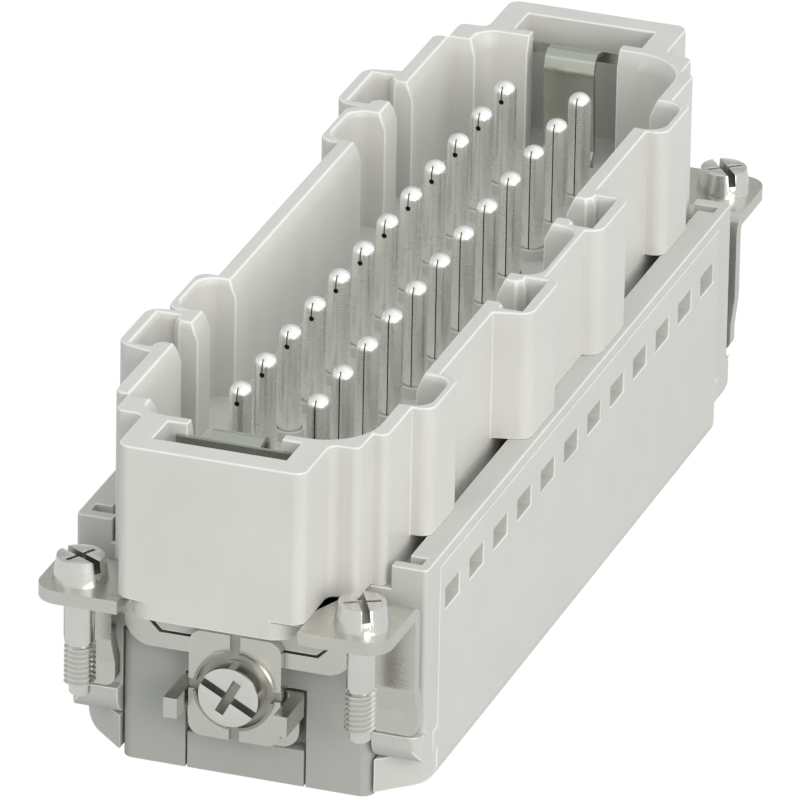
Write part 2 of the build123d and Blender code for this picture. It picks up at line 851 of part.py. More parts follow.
def main():
    os.makedirs("parts", exist_ok=True)
    write("shroud_housing", shroud_housing())
    write("carrier_frame", carrier_frame())
    write("terminal_block", terminal_block())
    panel = side_panel()
    write("side_panel_back", panel)
    write("side_panel_front", mirror(panel, Plane.XZ))

    for name, piece in (
        ("earth_bracket", earth_bracket()),
        ("earth_saddle", earth_saddle()),
        ("earth_screw", earth_screw()),
        ("earth_spring", earth_spring()),
    ):
        write(f"{name}_right", piece)
        write(f"{name}_left", mirror(piece, Plane.YZ))

    screw = fixing_screw()
    for corner, x, y, turn in (
        ("left_front", -fixing_x, -fixing_y, left_front_turn),
        ("left_back", -fixing_x, fixing_y, left_back_turn),
        ("right_front", fixing_x, -fixing_y, right_front_turn),
        ("right_back", fixing_x, fixing_y, right_back_turn),
    ):
        write(f"fixing_screw_{corner}", Pos(x, y, 0) * (Rot(0, 0, turn) * screw))

    pin = contact_pin()
    bar = clamp_bar()
    spring = clamp_spring()
    bars = [Pos(x, 0, 0) * bar for x in contact_xs()]
    springs = [Pos(x, 0, 0) * spring for x in contact_xs()]
    for i, x in enumerate(contact_xs()):
        write(f"contact_pin_{i + 1:02d}", Pos(x, -row_y, 0) * pin)
        turned = Pos(x, row_y, 0) * (Rot(0, 0, 180) * pin)
        write(f"contact_pin_{i + 1 + contacts_per_row:02d}", turned)
    write("clamp_bars_back", Compound(children=bars))
    write("clamp_springs_back", Compound(children=springs))
    write("clamp_bars_front", Compound(children=[mirror(b, Plane.XZ) for b in bars]))
    write("clamp_springs_front", Compound(children=[mirror(s, Plane.XZ) for s in springs]))


main()
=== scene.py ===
# %% [markdown]
# # A 24-contact connector insert, dressed for the camera
# The frame holds every piece of the insert at its real size and place. This lesson gives those
# pieces their finish: moulded plastic with rounded edges, bright plated sheet, turned screws with
# real threads, and rolled contact pins. Everything is in metres, so one millimetre is 0.001.

# %% Load the frame
import math
import bpy
from mathutils import Matrix, Vector


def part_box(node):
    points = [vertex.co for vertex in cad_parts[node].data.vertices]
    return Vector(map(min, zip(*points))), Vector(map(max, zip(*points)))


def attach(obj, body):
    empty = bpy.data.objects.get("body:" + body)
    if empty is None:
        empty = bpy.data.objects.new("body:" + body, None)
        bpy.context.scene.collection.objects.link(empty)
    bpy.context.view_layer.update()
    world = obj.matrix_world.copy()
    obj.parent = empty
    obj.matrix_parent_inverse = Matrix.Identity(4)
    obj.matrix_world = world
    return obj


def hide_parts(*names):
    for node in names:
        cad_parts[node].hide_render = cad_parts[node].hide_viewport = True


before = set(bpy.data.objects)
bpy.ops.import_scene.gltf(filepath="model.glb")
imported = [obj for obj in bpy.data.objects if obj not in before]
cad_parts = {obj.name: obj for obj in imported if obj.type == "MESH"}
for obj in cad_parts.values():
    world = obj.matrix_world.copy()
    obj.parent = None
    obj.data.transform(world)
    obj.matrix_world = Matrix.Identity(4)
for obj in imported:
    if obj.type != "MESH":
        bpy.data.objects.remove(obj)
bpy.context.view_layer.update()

MM = 0.001

# %% [markdown]
# ## Helpers
# An operator works on what is selected, so each step first selects one piece and nothing else.
# `edit` opens edit mode on it with every vertex selected or none, `finish_modifier` adds a modifier
# with its settings and applies it at once, so that the mesh itself carries the shape.

# %% Select, edit and finish
def focus(piece):
    bpy.ops.object.select_all(action="DESELECT")
    piece.select_set(True)
    bpy.context.view_layer.objects.active = piece


def edit(piece, select="SELECT"):
    focus(piece)
    bpy.ops.object.mode_set(mode="EDIT")
    bpy.ops.mesh.select_all(action=select)


def leave_edit():
    bpy.ops.object.mode_set(mode="OBJECT")


def finish_modifier(piece, kind, **settings):
    focus(piece)
    modifier = piece.modifiers.new(kind.lower(), kind)
    for key, value in settings.items():
        setattr(modifier, key, value)
    bpy.ops.object.modifier_apply(modifier=modifier.name)


def smooth(piece, degrees=35):
    focus(piece)
    bpy.ops.object.shade_smooth_by_angle(angle=math.radians(degrees))


def triangles(piece):
    piece.data.calc_loop_triangles()
    return len(piece.data.loop_triangles)


def hand_over(piece, materials, slot, body, *nodes):
    """Gives a finished piece its materials and its body, and hides the frame nodes it stands for."""
    slots = piece.data.materials
    while len(slots) < len(materials):
        slots.append(None)
    for index, material in enumerate(materials):
        slots[index] = material
    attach(piece, body)
    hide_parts(*nodes)
    print(f"{piece.name}: {triangles(piece)} triangles on {body}")


# %% [markdown]
# ## Camera
# A product photograph of a small part is taken from well over a metre away with a long lens, so
# that far edges stay nearly parallel to near ones. The camera is placed by its own three angles,
# turn, dip and roll, which is easier to correct by eye than an Euler triple.

# %% Place the camera
CAMERA_PLACE = Vector((-1172.7, -400.2, 588.2)) * MM
CAMERA_TURN = math.radians(18.891)
CAMERA_DIP = math.radians(24.687)
CAMERA_ROLL = math.radians(1.108)
CAMERA_LENS = 657.8

forward = Vector((
    math.cos(CAMERA_DIP) * math.cos(CAMERA_TURN),
    math.cos(CAMERA_DIP) * math.sin(CAMERA_TURN),
    -math.sin(CAMERA_DIP),
))
right = Vector((math.sin(CAMERA_TURN), -math.cos(CAMERA_TURN), 0))
up = right.cross(forward)
rolled_right = math.cos(CAMERA_ROLL) * right + math.sin(CAMERA_ROLL) * up
rolled_up = math.cos(CAMERA_ROLL) * up - math.sin(CAMERA_ROLL) * right
camera_axes = Matrix((rolled_right, rolled_up, -forward)).transposed()

bpy.ops.object.camera_add()
camera = bpy.context.object
camera.name = "camera"
camera.matrix_world = Matrix.Translation(CAMERA_PLACE) @ camera_axes.to_4x4()
camera.data.sensor_width = 36
camera.data.lens = CAMERA_LENS
camera.data.clip_end = 20
bpy.context.scene.camera = camera
print("camera at", [round(value, 3) for value in camera.location])

# %% [markdown]
# ## Floor and light
# The insert stands on plain white. A floor lit only by lamps never reaches pure white, and more
# lamp light would burn out the pale plastic, so the floor and the sky give their own white to the
# camera's rays. The floor still mixes in some real diffuse light, which keeps a soft contact shadow.

# %% Build the floor
FLOOR_SIZE = 12
FLOOR_GLOW = 0.88
MIRROR_SHARE = 0.5
WHITE = 1.1

def join_values(tree, operation, first, second):
    """One Math node on two values, each a socket or a number."""
    node = tree.nodes.new("ShaderNodeMath")
    node.operation = operation
    for socket, value in zip(node.inputs, (first, second)):
        if isinstance(value, (int, float)):
            socket.default_value = value
        else:
            tree.links.new(value, socket)
    return node.outputs[0]


def sees_background(tree, mirror_share):
    """One for rays that look straight at the studio, and a share of that for mirrored ones."""
    path = tree.nodes.new("ShaderNodeLightPath").outputs
    seen = join_values(tree, "MAXIMUM", path["Is Camera Ray"], path["Is Transmission Ray"])
    mirrored = join_values(tree, "MULTIPLY", path["Is Glossy Ray"], mirror_share)
    return join_values(tree, "MAXIMUM", seen, mirrored)


def blank_material(name):
    material = bpy.data.materials.new(name)
    material.use_nodes = True
    material.node_tree.nodes.clear()
    return material, material.node_tree


def floor_material():
    material, tree = blank_material("studio_floor")
    nodes, links = tree.nodes, tree.links
    diffuse = nodes.new("ShaderNodeBsdfDiffuse")
    diffuse.inputs["Color"].default_value = (0.5, 0.5, 0.5, 1)
    glow = nodes.new("ShaderNodeEmission")
    glow.inputs["Strength"].default_value = WHITE
    share = join_values(tree, "MULTIPLY", sees_background(tree, MIRROR_SHARE), FLOOR_GLOW)
    mix = nodes.new("ShaderNodeMixShader")
    output = nodes.new("ShaderNodeOutputMaterial")
    links.new(share, mix.inputs["Fac"])
    links.new(diffuse.outputs[0], mix.inputs[1])
    links.new(glow.outputs[0], mix.inputs[2])
    links.new(mix.outputs[0], output.inputs["Surface"])
    return material


bpy.ops.object.select_all(action="DESELECT")
bpy.ops.mesh.primitive_plane_add(size=FLOOR_SIZE, location=(0, 0, 0))
floor = bpy.context.object
floor.name = "floor"
floor.data.materials.append(floor_material())

# %% [markdown]
# Polished metal only looks like metal when it has something dark to mirror. A photographer stands a
# black card, a flag, behind the object for that. Here the flag is a dark band of the sky: a Map
# Range on the ray's height gives its lower and upper edge, and a dot product its side.

# %% Light the studio
WORLD_STRENGTH = 0.98
SKY_COLOUR = (0.96, 1.0, 0.985)
KEY_COLOUR = (1.0, 0.955, 0.90)
KEY_ENERGY = 5.5
FILL_SHARE = 0.15
FLAG_SIDE = (0.93, 0.36, 0.0)
FLAG_DEPTH = 0.4

def remap(tree, value, from_low, from_high, low, high):
    """Stretches a value from one range to another, held at both ends."""
    span = tree.nodes.new("ShaderNodeMapRange")
    span.interpolation_type = "SMOOTHSTEP"
    tree.links.new(value, span.inputs["Value"])
    for name, end in (
        ("From Min", from_low),
        ("From Max", from_high),
        ("To Min", low),
        ("To Max", high),
    ):
        span.inputs[name].default_value = end
    return span.outputs["Result"]


def dark_flag(tree, direction, height):
    """How much light the flag leaves: one away from it, less behind the object."""
    side = tree.nodes.new("ShaderNodeVectorMath")
    side.operation = "DOT_PRODUCT"
    tree.links.new(direction, side.inputs[0])
    side.inputs[1].default_value = FLAG_SIDE
    behind = remap(tree, side.outputs["Value"], 0.25, 0.85, 0, 1)
    above = remap(tree, height, 0.05, 0.30, 0, 1)
    below = remap(tree, height, 0.50, 0.75, 1, 0)
    band = join_values(tree, "MULTIPLY", above, below)
    cover = join_values(tree, "MULTIPLY", behind, band)
    taken = join_values(tree, "MULTIPLY", cover, FLAG_DEPTH)
    return join_values(tree, "SUBTRACT", 1.0, taken)


def studio_world():
    world = bpy.data.worlds.new("studio")
    world.use_nodes = True
    tree = world.node_tree
    tree.nodes.clear()
    nodes, links = tree.nodes, tree.links
    direction = nodes.new("ShaderNodeTexCoord").outputs["Generated"]
    split = nodes.new("ShaderNodeSeparateXYZ")
    links.new(direction, split.inputs[0])
    light = remap(tree, split.outputs["Z"], 0.0, 1.0, 1.05, 1.0)
    light = join_values(tree, "MULTIPLY", light, dark_flag(tree, direction, split.outputs["Z"]))
    across = remap(tree, split.outputs["Y"], -0.9, 0.9, 1.12, 0.74)
    light = join_values(tree, "MULTIPLY", light, across)
    sky = nodes.new("ShaderNodeBackground")
    links.new(join_values(tree, "MULTIPLY", light, WORLD_STRENGTH), sky.inputs["Strength"])
    white = nodes.new("ShaderNodeBackground")
    white.inputs["Color"].default_value = (1, 1, 1, 1)
    white.inputs["Strength"].default_value = WHITE
    mix = nodes.new("ShaderNodeMixShader")
    output = nodes.new("ShaderNodeOutputWorld")
    links.new(sees_background(tree, 0), mix.inputs["Fac"])
    links.new(sky.outputs[0], mix.inputs[1])
    links.new(white.outputs[0], mix.inputs[2])
    links.new(mix.outputs[0], output.inputs["Surface"])
    sky.inputs["Color"].default_value = (*SKY_COLOUR, 1)
    bpy.context.scene.world = world


def softbox(name, place, target, size, energy):
    """A square area lamp that faces its target."""
    bpy.ops.object.light_add(type="AREA", location=place)
    lamp = bpy.context.object
    lamp.name = name
    lamp.data.shape = "RECTANGLE"
    lamp.data.size, lamp.data.size_y = size
    lamp.data.energy = energy
    lamp.data.color = KEY_COLOUR
    aim = Vector(target) - Vector(place)
    lamp.rotation_euler = aim.to_track_quat("-Z", "Y").to_euler()
    return lamp


studio_world()
softbox("key_light", (-0.75, -0.85, 0.40), (0, 0, 0.02), (0.7, 0.7), KEY_ENERGY)
softbox("fill_light", (-0.9, 0.65, 0.6), (0, 0, 0.02), (0.6, 0.6), KEY_ENERGY * FILL_SHARE)
bpy.context.scene.view_settings.view_transform = "Standard"
print("studio lit")

# %% [markdown]
# ## Moulded plastic
# Spark-eroded moulds leave an even, very fine grain, and the colour drifts a little with the flow
# of the melt. Both effects are wanted on several plastics, so they live in one node group with
# named sockets. Its outputs feed the colour, the roughness and a bump.

# %% The moulded surface group
def group_sockets(tree, inputs, outputs):
    for name, kind, value in inputs:
        socket = tree.interface.new_socket(name, in_out="INPUT", socket_type=kind)
        socket.default_value = value
    for name, kind in outputs:
        tree.interface.new_socket(name, in_out="OUTPUT", socket_type=kind)
    return tree.nodes.new("NodeGroupInput"), tree.nodes.new("NodeGroupOutput")


def noise(tree, vector, scale, detail):
    texture = tree.nodes.new("ShaderNodeTexNoise")
    texture.inputs["Detail"].default_value = detail
    tree.links.new(vector, texture.inputs["Vector"])
    if isinstance(scale, (int, float)):
        texture.inputs["Scale"].default_value = scale
    else:
        tree.links.new(scale, texture.inputs["Scale"])
    return texture.outputs["Fac"]


def spread(tree, value, low, high, from_low=0.3, from_high=0.7):
    """Stretches a value between two ends, which may be sockets or numbers."""
    span = tree.nodes.new("ShaderNodeMapRange")
    tree.links.new(value, span.inputs["Value"])
    span.inputs["From Min"].default_value = from_low
    span.inputs["From Max"].default_value = from_high
    for name, end in (("To Min", low), ("To Max", high)):
        if isinstance(end, (int, float)):
            span.inputs[name].default_value = end
        else:
            tree.links.new(end, span.inputs[name])
    return span.outputs["Result"]


def shaded(tree, colour, value):
    """A colour made lighter or darker by a value round one."""
    scale = tree.nodes.new("ShaderNodeVectorMath")
    scale.operation = "SCALE"
    tree.links.new(colour, scale.inputs[0])
    tree.links.new(value, scale.inputs["Scale"])
    return scale.outputs[0]


def moulded_group():
    tree = bpy.data.node_groups.new("moulded_surface", "ShaderNodeTree")
    entry, out = group_sockets(
        tree,
        [
            ("Colour", "NodeSocketColor", (0.6, 0.6, 0.6, 1)),
            ("Darkest", "NodeSocketFloat", 0.97),
            ("Lightest", "NodeSocketFloat", 1.03),
            ("Grain Scale", "NodeSocketFloat", 9000),
            ("Smoothest", "NodeSocketFloat", 0.38),
            ("Roughest", "NodeSocketFloat", 0.5),
        ],
        [
            ("Colour", "NodeSocketColor"),
            ("Roughness", "NodeSocketFloat"),
            ("Height", "NodeSocketFloat"),
        ],
    )
    place = tree.nodes.new("ShaderNodeTexCoord").outputs["Object"]
    flow = noise(tree, place, 130, 3)
    tint = spread(tree, flow, entry.outputs["Darkest"], entry.outputs["Lightest"])
    tree.links.new(shaded(tree, entry.outputs["Colour"], tint), out.inputs["Colour"])
    grain = noise(tree, place, entry.outputs["Grain Scale"], 2)
    gloss = spread(tree, flow, entry.outputs["Smoothest"], entry.outputs["Roughest"])
    tree.links.new(gloss, out.inputs["Roughness"])
    tree.links.new(grain, out.inputs["Height"])
    return tree


# %% Surface materials from a group
def surface_material(name, group, metallic, bump, settings):
    """A Principled surface whose colour, roughness and bump come from a group."""
    material, tree = blank_material(name)
    nodes, links = tree.nodes, tree.links
    effect = nodes.new("ShaderNodeGroup")
    effect.node_tree = group
    for key, value in settings.items():
        effect.inputs[key].default_value = value
    surface = nodes.new("ShaderNodeBsdfPrincipled")
    surface.inputs["Metallic"].default_value = metallic
    relief = nodes.new("ShaderNodeBump")
    relief.inputs["Strength"].default_value = bump
    relief.inputs["Distance"].default_value = 0.00002
    output = nodes.new("ShaderNodeOutputMaterial")
    links.new(effect.outputs["Colour"], surface.inputs["Base Color"])
    links.new(effect.outputs["Roughness"], surface.inputs["Roughness"])
    links.new(effect.outputs["Height"], relief.inputs["Height"])
    links.new(relief.outputs["Normal"], surface.inputs["Normal"])
    links.new(surface.outputs["BSDF"], output.inputs["Surface"])
    return material


def plastic(name, colour, smoothest, roughest):
    settings = {"Colour": (*colour, 1), "Smoothest": smoothest, "Roughest": roughest}
    return surface_material(name, moulded, 0, 0.35, settings)


moulded = moulded_group()
light_grey = plastic("pale_moulding", (0.65, 0.638, 0.616), 0.34, 0.42)
mid_grey = plastic("frame_moulding", (0.59, 0.585, 0.565), 0.36, 0.45)
panel_grey = plastic("panel_moulding", (0.615, 0.605, 0.585), 0.36, 0.44)
dark_grey = plastic("deep_moulding", (0.45, 0.455, 0.435), 0.45, 0.55)
# The two edge plastics are paler than the plastics they round: a painted highlight on outward edges.
pale_edge_highlight = plastic("painted_highlight_pale_edge", (0.80, 0.79, 0.765), 0.24, 0.32)
dark_moulding_edge_highlight = plastic("painted_highlight_dark_edge", (0.58, 0.58, 0.56), 0.3, 0.38)

# %% [markdown]
# ## Plated and rolled metal
# Sheet carries the fine lines of the rolling mill under its plating, so its bump is a noise
# stretched a long way in one direction. A turned pin carries rings instead, so the same noise is
# stretched round it by giving height almost all the detail.

# %% The metal group
def metal_group():
    tree = bpy.data.node_groups.new("worked_metal", "ShaderNodeTree")
    entry, out = group_sockets(
        tree,
        [
            ("Colour", "NodeSocketColor", (0.8, 0.8, 0.8, 1)),
            ("Line Scale", "NodeSocketVector", (300, 300, 9000)),
            ("Smoothest", "NodeSocketFloat", 0.16),
            ("Roughest", "NodeSocketFloat", 0.3),
        ],
        [
            ("Colour", "NodeSocketColor"),
            ("Roughness", "NodeSocketFloat"),
            ("Height", "NodeSocketFloat"),
        ],
    )
    place = tree.nodes.new("ShaderNodeTexCoord").outputs["Object"]
    stretch = tree.nodes.new("ShaderNodeVectorMath")
    stretch.operation = "MULTIPLY"
    tree.links.new(place, stretch.inputs[0])
    tree.links.new(entry.outputs["Line Scale"], stretch.inputs[1])
    lines = noise(tree, stretch.outputs[0], 1.0, 2)
    cloud = noise(tree, place, 420, 3)
    tint = spread(tree, cloud, 0.98, 1.02)
    tree.links.new(shaded(tree, entry.outputs["Colour"], tint), out.inputs["Colour"])
    gloss = spread(tree, lines, entry.outputs["Smoothest"], entry.outputs["Roughest"])
    tree.links.new(gloss, out.inputs["Roughness"])
    tree.links.new(lines, out.inputs["Height"])
    return tree


def metal(name, colour, lines, smoothest, roughest, bump):
    settings = {
        "Colour": (*colour, 1),
        "Line Scale": lines,
        "Smoothest": smoothest,
        "Roughest": roughest,
    }
    return surface_material(name, worked, 1, bump, settings)


worked = metal_group()
nickel_sheet = metal("nickel_sheet", (0.65, 0.64, 0.597), (500, 500, 5000), 0.25, 0.28, 0.01)
screw_metal = metal("turned_steel", (0.76, 0.755, 0.72), (900, 900, 9000), 0.15, 0.22, 0.06)
spring_metal = metal("spring_steel", (0.48, 0.49, 0.435), (400, 5000, 400), 0.2, 0.28, 0.08)
pin_metal = metal("silvered_pin", (0.97, 0.97, 0.94), (600, 600, 9000), 0.24, 0.28, 0.02)
seam_dark = metal("seam_shadow", (0.03, 0.03, 0.028), (600, 600, 9000), 0.5, 0.7, 0.05)
# A darker steel for milled slots and hollows: painted shade inside them.
shaded_slot_metal = metal("painted_slot_shade", (0.38, 0.375, 0.345), (900, 900, 9000), 0.3, 0.4, 0.06)

# %% [markdown]
# ## Mouldings and sheet parts
# The frame's solids give the form, but their edges are knife sharp and catch no light. Each
# copy is merged into one skin, its flat triangles are dissolved into whole faces, and a narrow
# bevel rounds every sharp edge, as the mould or the tumbling barrel does. Weighted normals keep the
# large faces flat next to the rounded edges. On the mouldings the rounding of each outward edge
# is given a paler plastic, a painted highlight.
#
# Blender's overlap clamp narrows a whole bevel to suit the smallest edge, which made the mouldings'
# rounding too thin to see, so theirs runs without it. That has a price: where roundings overlap,
# corners can leave the old box and are moved back to it, and a dark wedge is left under the shroud
# beside the front ear.

# %% Round the edges of a copy
MERGE_DISTANCE = 0.002 * MM
FLAT_ANGLE = math.radians(0.6)
SHARP_ANGLE = math.radians(32)

def merged_copy(node, name):
    """A copy of a frame node as one closed skin with whole faces."""
    piece = bpy.data.objects.new(name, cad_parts[node].data.copy())
    bpy.context.scene.collection.objects.link(piece)
    focus(piece)
    if piece.data.has_custom_normals:
        bpy.ops.mesh.customdata_custom_splitnormals_clear()
    edit(piece)
    bpy.ops.mesh.remove_doubles(threshold=MERGE_DISTANCE)
    bpy.ops.mesh.dissolve_limited(angle_limit=FLAT_ANGLE)
    leave_edit()
    return piece


def plain_inner_corners(piece):
    """Gives the rounding of inward corners back to the first material, so that only outward corners carry
    the second one, the painted edge highlight on the mouldings.
    """
    faces = piece.data.polygons
    sharing = {}
    for face in faces:
        for edge in face.edge_keys:
            sharing.setdefault(edge, []).append(face.index)
    inward = []
    for face in faces:
        if face.material_index == 0:
            continue
        others = {index for edge in face.edge_keys for index in sharing[edge]} - {face.index}
        steps = [(faces[index].center - face.center).normalized() for index in others]
        lean = sum(step.dot(face.normal) for step in steps)
        if lean > 0:
            inward.append(face.index)
    for index in inward:
        faces[index].material_index = 0


def hold_inside(piece, low, high):
    """Keeps every corner of a rounded piece within the box it had before."""
    moved = 0
    for vertex in piece.data.vertices:
        held = [min(max(value, a), b) for value, a, b in zip(vertex.co, low, high)]
        moved += (Vector(held) - vertex.co).length > 1e-6
        vertex.co = held
    print(f"{piece.name}: {moved} corners held inside")


def round_edges(piece, edge, segments=2, clamp=True):
    """Rounds every sharp edge, and keeps the roundings of outward corners as a second material, which on
    the mouldings is a paler plastic, a painted highlight.
    """
    if len(piece.data.materials) == 0:
        piece.data.materials.append(None)
    piece.data.materials.append(None)
    places = [vertex.co for vertex in piece.data.vertices]
    low = [min(place[axis] for place in places) for axis in range(3)]
    high = [max(place[axis] for place in places) for axis in range(3)]
    finish_modifier(
        piece,
        "BEVEL",
        width=edge * MM,
        segments=segments,
        limit_method="ANGLE",
        angle_limit=SHARP_ANGLE,
        use_clamp_overlap=clamp,
        miter_outer="MITER_SHARP",
        material=1,
    )
    plain_inner_corners(piece)
    hold_inside(piece, low, high)
    smooth(piece)
    finish_modifier(piece, "WEIGHTED_NORMAL", keep_sharp=True, weight=50)


def mill(piece, cutter, operation="DIFFERENCE"):
    """Takes the cutter's shape out of the piece, or joins it on."""
    finish_modifier(piece, "BOOLEAN", operation=operation, solver="EXACT", object=cutter)
    bpy.data.objects.remove(cutter)


def block_between(x, y, z):
    """A cutter between two levels along each axis, in millimetres."""
    low, high = (Vector(ends) for ends in zip(x, y, z))
    bpy.ops.object.select_all(action="DESELECT")
    bpy.ops.mesh.primitive_cube_add(size=MM, location=(low + high) / 2 * MM)
    cutter = bpy.context.object
    cutter.scale = [abs(side) for side in high - low]
    bpy.ops.object.transform_apply()
    return cutter


# %% Dress the mouldings
MOULDINGS = (
    ("shroud_housing", light_grey, pale_edge_highlight, "light_grey_plastic", 0.16),
    ("carrier_frame", mid_grey, pale_edge_highlight, "grey_plastic", 0.13),
    ("side_panel_back", panel_grey, pale_edge_highlight, "grey_plastic", 0.11),
    ("side_panel_front", panel_grey, pale_edge_highlight, "grey_plastic", 0.11),
)
for node, material, highlight_material, slot, edge in MOULDINGS:
    piece = merged_copy(node, f"{node}_moulding")
    round_edges(piece, edge, clamp=False)
    hand_over(piece, [material, highlight_material], slot, "insert", node)

# %% [markdown]
# The photograph shows a seam down the end face of the terminal block on each side, from the corner
# of the recess to the underside. What divides the block there is unknown, so only the seams are
# cut. Above the two wire arms the recess is narrower, with a shoulder of plastic on each side.

# %% Dress the terminal block
block_low, block_high = (Vector(corner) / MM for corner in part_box("terminal_block"))
bracket_low = Vector(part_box("earth_bracket_left")[0]) / MM
RECESS_HALF = 5.85
RECESS_DEPTH = 1.6
RECESS_SILL = bracket_low.z - 0.45
SEAM_GROOVE = 0.22
SEAM_CUT = 1.1
SHOULDER_INNER = 3.45
SHOULDER_FOOT = 9.75

block = merged_copy("terminal_block", "terminal_block_moulding")
for end in (-1, 1):
    face = block_high.x if end > 0 else block_low.x
    for side in (-1, 1):
        shoulder = block_between(
            (face - end * (RECESS_DEPTH + 0.3), face),
            (side * SHOULDER_INNER, side * (RECESS_HALF + 0.3)),
            (SHOULDER_FOOT, block_high.z),
        )
        mill(block, shoulder, "UNION")
        groove = block_between(
            (face - end * SEAM_CUT, face + end),
            (side * (RECESS_HALF - SEAM_GROOVE), side * RECESS_HALF),
            (block_low.z - 1, RECESS_SILL + SEAM_GROOVE),
        )
        mill(block, groove)
# The rounded outward edges of the block get a paler plastic, a painted highlight.
round_edges(block, 0.1)
hand_over(block, [dark_grey, dark_moulding_edge_highlight], "dark_grey_plastic", "insert", "terminal_block")

# %% [markdown]
# The earth bracket is one stamping. Its apron stands free of the two legs, with a large rounded
# corner beside each gap, and its tongue is narrower above the wire arms, where the saddle hides it.

# %% Dress the sheet parts
screw_low, screw_high = (Vector(corner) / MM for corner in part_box("earth_screw_left"))
CLAMP_LEVEL = (screw_low.z + screw_high.z) / 2
SHEET = 1.3
LEG_INNER = block_high.y + 0.2
APRON_HALF = LEG_INNER - SHEET
APRON_FOOT = CLAMP_LEVEL + 2.6
APRON_CORNER = 2.6
GAP_TOP = APRON_FOOT + 2.8
TONGUE_NECK = 3.3
TONGUE_REACH = 6
NECK_FOOT = 9.95
SHEET_ZONE = (40, 50)

def apron_corner_cutter(zone, side):
    """What the rounded lower corner of the apron leaves off, with the gap beside it."""
    cutter = block_between(
        zone,
        (side * (APRON_HALF - APRON_CORNER), side * LEG_INNER),
        (APRON_FOOT - 1, APRON_FOOT + APRON_CORNER),
    )
    centre = Vector((
        sum(zone) / 2,
        side * (APRON_HALF - APRON_CORNER),
        APRON_FOOT + APRON_CORNER,
    ))
    bpy.ops.object.select_all(action="DESELECT")
    bpy.ops.mesh.primitive_cylinder_add(
        vertices=96,
        radius=APRON_CORNER * MM,
        depth=40 * MM,
        location=centre * MM,
        rotation=(0, math.pi / 2, 0),
    )
    mill(cutter, bpy.context.object)
    return cutter


def trim_bracket(piece, end):
    """Frees the apron from the legs and narrows the tongue above the arms."""
    zone = tuple(end * level for level in SHEET_ZONE)
    for side in (-1, 1):
        mill(piece, block_between(zone, (side * APRON_HALF, side * LEG_INNER), (0, GAP_TOP)))
        mill(piece, apron_corner_cutter(zone, side))
        mill(piece, block_between(zone, (side * TONGUE_NECK, side * TONGUE_REACH), (NECK_FOOT, APRON_FOOT)))


SADDLE_FACE = 46.73
GROOVE_HALF = 0.56
DISH_RADIUS = 3.62

def darken_saddle(piece, end):
    """Gives the dish and the grooves of the saddle a darker metal, as the photograph shows them: painted
    shade in these hollows.
    """
    for face in piece.data.polygons:
        x, y, z = (value / MM for value in face.center)
        rise = z - CLAMP_LEVEL
        sunk = end * x < SADDLE_FACE - 0.06
        in_groove = min(abs(y), abs(rise)) < GROOVE_HALF and end * face.normal.x > -0.5
        in_dish = math.hypot(y, rise) < DISH_RADIUS
        if end * x > SADDLE_FACE - 0.6 and (in_dish or (sunk and in_groove)):
            face.material_index = 2


for name, end in (("left", -1), ("right", 1)):
    bracket = merged_copy(f"earth_bracket_{name}", f"earth_bracket_{name}_sheet")
    trim_bracket(bracket, end)
    round_edges(bracket, 0.14, segments=3)
    sheet_metals = [nickel_sheet, nickel_sheet]
    hand_over(bracket, sheet_metals, "nickel_steel", "insert", f"earth_bracket_{name}")
    saddle = merged_copy(f"earth_saddle_{name}", f"earth_saddle_{name}_plate")
    round_edges(saddle, 0.1)
    darken_saddle(saddle, end)
    saddle_metals = [nickel_sheet, nickel_sheet, shaded_slot_metal]
    hand_over(saddle, saddle_metals, "nickel_steel", f"earth_saddle_{name}", f"earth_saddle_{name}")
    spring = merged_copy(f"earth_spring_{name}", f"earth_spring_{name}_leaf")
    round_edges(spring, 0.06)
    hand_over(spring, [spring_metal, spring_metal], "spring_metal", "insert", f"earth_spring_{name}")

# %% [markdown]
# ## Turned pieces
# Pins and screws are turned on a lathe: half of the outline goes round the axis. A line is drawn
# here the way it is by hand, one vertex extruded from point to point, and the Spin operator turns
# it into a closed body, because the line starts and ends on the axis. A slot is then milled with a
# Boolean modifier, as the cutter does it.

# %% Draw, turn and mill
def draw_line(name, points):
    """A line of edges in the XZ plane, from millimetre points."""
    bpy.ops.object.select_all(action="DESELECT")
    bpy.ops.mesh.primitive_plane_add(size=MM)
    piece = bpy.context.object
    piece.name = name
    edit(piece)
    bpy.ops.mesh.merge(type="CENTER")
    last = Vector((0, 0, 0))
    for index, (x, z) in enumerate(points):
        step = Vector((x, 0, z)) * MM - last
        if index == 0:
            bpy.ops.transform.translate(value=step)
        else:
            bpy.ops.mesh.extrude_region_move(TRANSFORM_OT_translate={"value": step})
        last += step
    leave_edit()
    return piece


def turned(name, outline, steps=48):
    """A closed round body about the Z axis, from half of its outline."""
    piece = draw_line(name, outline)
    edit(piece)
    bpy.ops.mesh.spin(steps=steps, angle=2 * math.pi, center=(0, 0, 0), axis=(0, 0, 1))
    bpy.ops.mesh.select_all(action="SELECT")
    bpy.ops.mesh.remove_doubles(threshold=MERGE_DISTANCE)
    bpy.ops.mesh.normals_make_consistent(inside=False)
    leave_edit()
    return piece


def slot_cutter(length, width, low, high, turn, shift=0):
    """A box for one slot across the axis, turned about it, in millimetres."""
    bpy.ops.object.select_all(action="DESELECT")
    place = Vector((shift * math.cos(turn), shift * math.sin(turn), (low + high) / 2)) * MM
    bpy.ops.mesh.primitive_cube_add(size=MM, location=place, rotation=(0, 0, turn))
    cutter = bpy.context.object
    cutter.scale = (length, width, high - low)
    bpy.ops.object.transform_apply()
    return cutter


